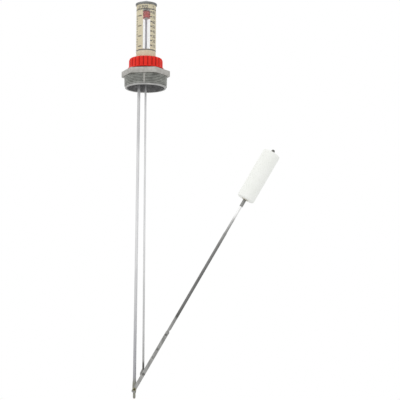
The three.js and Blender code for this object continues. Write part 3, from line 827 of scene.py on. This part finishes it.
# ---------- float arm ----------
def channel():
    """Folded from one sheet: two ears at the pivot, then a trough that narrows to grip the rod."""
    low, high = along("arm_channel", ARM)
    sheet, edge, bend, corner_radius = 0.7, 2.5, 1.0, 2
    wide = reach("arm_channel")
    narrow, joggle, web, spare, hole, slot = wide - 0.2, (34, 42), 28, 50, 1.5, 1.8
    stations = [low, low + 2.4, 14, web - 0.6, web + 0.2, *joggle, spare - slot, spare + slot,
                high - 2.4, high]

    def half_width(height):
        share = min(max((height - joggle[0]) / (joggle[1] - joggle[0]), 0), 1)
        return wide + (narrow - wide) * share * share * (3 - 2 * share)

    def fold(x, height):
        """How far round its bend a point is: the ears stay flat, and the trough is folded."""
        folded = height > web and x > edge - bend
        return math.asin(min((x - edge + bend) / bend, 1)) if folded else 0

    def lay(v, height):
        """Where a point of the outer skin lies, with the sheet's ends rounded."""
        x, side = v.co.x / MM, math.copysign(1, v.co.y)
        y = half_width(height) - bend + bend * math.cos(fold(x, height))
        corner = max(abs(x) - edge + corner_radius, 0)
        ends = corner_radius - math.sqrt(corner_radius ** 2 - corner * corner)
        rise = {low: ends, high: -ends}.get(height, 0)
        return Vector((x * MM, side * y * MM, (height + rise) * MM))

    bm = bmesh.new()
    bends = [edge - bend + bend * math.sin(math.radians(d)) for d in (18, 36, 54, 72, 90)]
    columns = sorted({round(x, 3) for x in (-edge, -2.3, -slot, slot, *bends)})
    outline = [(x, -1) for x in columns] + [(x, 1) for x in reversed(columns)]
    verts = [bm.verts.new((x * MM, side * MM, 0)) for x, side in outline]
    loop = [bm.edges.new(pair) for pair in zip(verts, verts[1:])]
    level = {v: low for v in verts}
    for height in stations[1:]:
        fresh, loop = extruded(bm, loop)
        level.update((v, height) for v in fresh)
    gone = []
    for face in bm.faces:
        xs = [v.co.x / MM for v in face.verts]
        zs = [level[v] for v in face.verts]
        open_web = min(xs) > edge - 0.01 and max(zs) < web
        at_hole = (max(abs(x) for x in xs) < slot + 0.01 and face.calc_center_median().y < 0
                   and min(zs) == spare - slot and max(zs) == spare + slot)
        if open_web or at_hole:
            gone.append(face)
    bmesh.ops.delete(bm, geom=gone, context="FACES")
    for v in bm.verts:
        v.co = lay(v, level[v])
    around = [e for e in bm.edges if e.is_boundary
              and all(abs(level[v] - spare) < slot + 0.01 and abs(v.co.x) < (slot + 0.01) * MM
                      for v in e.verts)]
    cut = bmesh.ops.subdivide_edges(bm, edges=around, cuts=4)["geom_inner"]
    lip = {v for e in around if e.is_valid for v in e.verts}
    lip |= {g for g in cut if isinstance(g, bmesh.types.BMVert)}
    for v in lip:
        turn = math.atan2(v.co.z / MM - spare, v.co.x / MM)
        v.co.x, v.co.z = hole * MM * math.cos(turn), (spare + hole * math.sin(turn)) * MM
        level[v] = spare
    made = bmesh.ops.extrude_face_region(bm, geom=bm.faces[:], use_keep_orig=True)["geom"]
    for v in (g for g in made if isinstance(g, bmesh.types.BMVert)):
        side = math.copysign(1, v.co.y)
        turn = fold(v.co.x / MM, v.co.z / MM)
        v.co.x -= sheet * MM * math.sin(turn)
        v.co.y -= side * sheet * MM * math.cos(turn)
    finished("arm_trough", placed(bm, ARM), [ARM_STEEL], "float_arm", ["arm_channel"])


def float_rod():
    """A stepped bar, with a flat on its front where the channel grips it."""
    low, high = along("arm_rod", ARM)
    shank, radius, foot, flat, flat_end = 2.15, 1.8, 252, 1.5, 94.5
    bar = turned([(0, low), (shank - 0.3, low), (shank, low + 0.3), (shank, flat_end - 0.5),
                  (shank, flat_end + 0.5), (shank, foot - 3), (radius, foot - 0.1),
                  (radius, high - 0.3), (radius - 0.3, high), (0, high)], 40)
    for v in bar.verts:
        v.co.x = min(v.co.x, flat * MM) if v.co.z < flat_end * MM else v.co.x
    finished("float_rod", placed(bar, ARM), [ROD_STEEL], "float_arm", ["arm_rod"])


def arm_fixings():
    grip = 3.08
    for node in ("arm_rivet_lower", "arm_rivet_upper"):
        low, high = along(node, ARM)
        place = ARM @ Matrix.Translation((0, 0, (low + high) / 2 * MM))
        head = -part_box(node)[0].y / MM - grip
        rivet = headed(0.8, 1.5, head, head, grip)
        finished(node + "_pin", placed(rivet, place), [RIVET_STEEL], "float_arm", [node])
    place = Matrix.Translation(LINK)
    front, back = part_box("link_pin")
    grip = 3.3
    pin = headed(1.25, 2.1, -front.y / MM - grip, 0.6, grip)
    stub = across(turned([(0, -5.6), (1.05, -5.6), (1.25, -5.3), (1.25, -3), (0, -3)], 32))
    finished("link_stud", add(placed(pin, place), stub, place), [RIVET_STEEL], "float_arm",
             ["link_pin"])
    low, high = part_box("link_pin_clip")
    clip = across(washer(1.3, 2.7, -high.y / MM, -low.y / MM, 40))
    finished("link_clip", placed(clip, place), [DARK_STEEL], "float_arm", ["link_pin_clip"])


def float_and_stops():
    low, high = along("float_body", ARM)
    wide, bore, corner = 12.7, 2.1, 2.2
    arc = [(math.cos(a), math.sin(a)) for a in (math.radians(d) for d in range(0, 91, 15))]
    lower = [(wide - corner + corner * c, low + corner - corner * s) for c, s in reversed(arc)]
    upper = [(wide - corner + corner * c, high - corner + corner * s) for c, s in arc]
    body = turned([(bore, low + 0.5), (bore + 0.5, low), *lower, *upper, (bore + 0.5, high),
                   (bore, high - 0.5)], 96)
    finished("float_cylinder", placed(body, ARM), [FOAM], "float", ["float_body"])
    sleeve = washer(1.95, 2.4, *along("float_sleeve", ARM))
    finished("float_stop", placed(sleeve, ARM), [SLEEVE_STEEL], "float_arm", ["float_sleeve"])
    disc = washer(2.0, 4.5, *along("float_washer", ARM))
    finished("float_disc", placed(disc, ARM), [NYLON], "float_arm", ["float_washer"])
    low, high = along("float_cap_nut", ARM)
    nut = turned([(0, high), (1.1, high - 0.15), (2.0, high - 0.9), (2.4, high - 2),
                  (2.6, high - 2.6), (2.6, low + 0.3), (2.3, low), (0, low)], 32)
    finished("float_end_nut", placed(nut, ARM), [RIVET_STEEL], "float_arm", ["float_cap_nut"])


bung_casting()
bung_fittings()
strut()
strut_fixings()
pivot_fixings()
lock_ring()
slip_washer()
sight_glass()
scale_sleeve()
scale_printing()
actuating_rod()
indicator()
channel()
float_rod()
arm_fixings()
float_and_stops()


# ---------- stage, light and camera ----------
def stage():
    mesh = bpy.data.meshes.new("floor")
    bm = bmesh.new()
    bmesh.ops.create_grid(bm, x_segments=1, y_segments=1, size=12,
                          matrix=Matrix.Translation((0, 0, -0.84)))
    bm.to_mesh(mesh)
    bm.free()
    floor = bpy.data.objects.new("floor", mesh)
    bpy.context.scene.collection.objects.link(floor)
    pale = Finish("floor_pale", Roughness=0.9)
    two_tone(pale, 3, 0.78, 0.8)
    mesh.materials.append(pale.material)


def soft_light(name, place, target, size, power):
    lamp = bpy.data.lights.new(name, "AREA")
    lamp.shape = "DISK"
    lamp.size = size
    lamp.energy = power
    holder = bpy.data.objects.new(name, lamp)
    holder.location = place
    holder.rotation_euler = (Vector(target) - Vector(place)).to_track_quat("-Z", "Y").to_euler()
    bpy.context.scene.collection.objects.link(holder)


def light():
    world = bpy.data.worlds.new("studio")
    world.use_nodes = True
    sky = world.node_tree.nodes["Background"]
    sky.inputs["Color"].default_value = (1, 1, 1, 1)
    sky.inputs["Strength"].default_value = 1.0
    bpy.context.scene.world = world
    soft_light("key", (-1.2, -1.6, 1.4), (0, 0, 0), 0.9, 5)
    bpy.context.scene.view_settings.view_transform = "Standard"


def camera():
    """A long lens in front of the gauge, level with the arm's pivot and tilted up at it."""
    lens = bpy.data.cameras.new("camera")
    lens.sensor_width = 36
    lens.lens = 125.8
    lens.shift_x = -0.0009
    lens.clip_end = 50
    eye = bpy.data.objects.new("camera", lens)
    up, aside, roll = math.radians(8.077), math.radians(2.23), math.radians(0.161)
    eye.matrix_world = (Matrix.Translation((0.0025, -1.932, -0.449))
                        @ Matrix.Rotation(-aside, 4, "Z")
                        @ Matrix.Rotation(math.pi / 2 + up, 4, "X")
                        @ Matrix.Rotation(roll, 4, "Z"))
    bpy.context.scene.collection.objects.link(eye)
    bpy.context.scene.camera = eye


stage()
light()
camera()

bpy.context.view_layer.update()
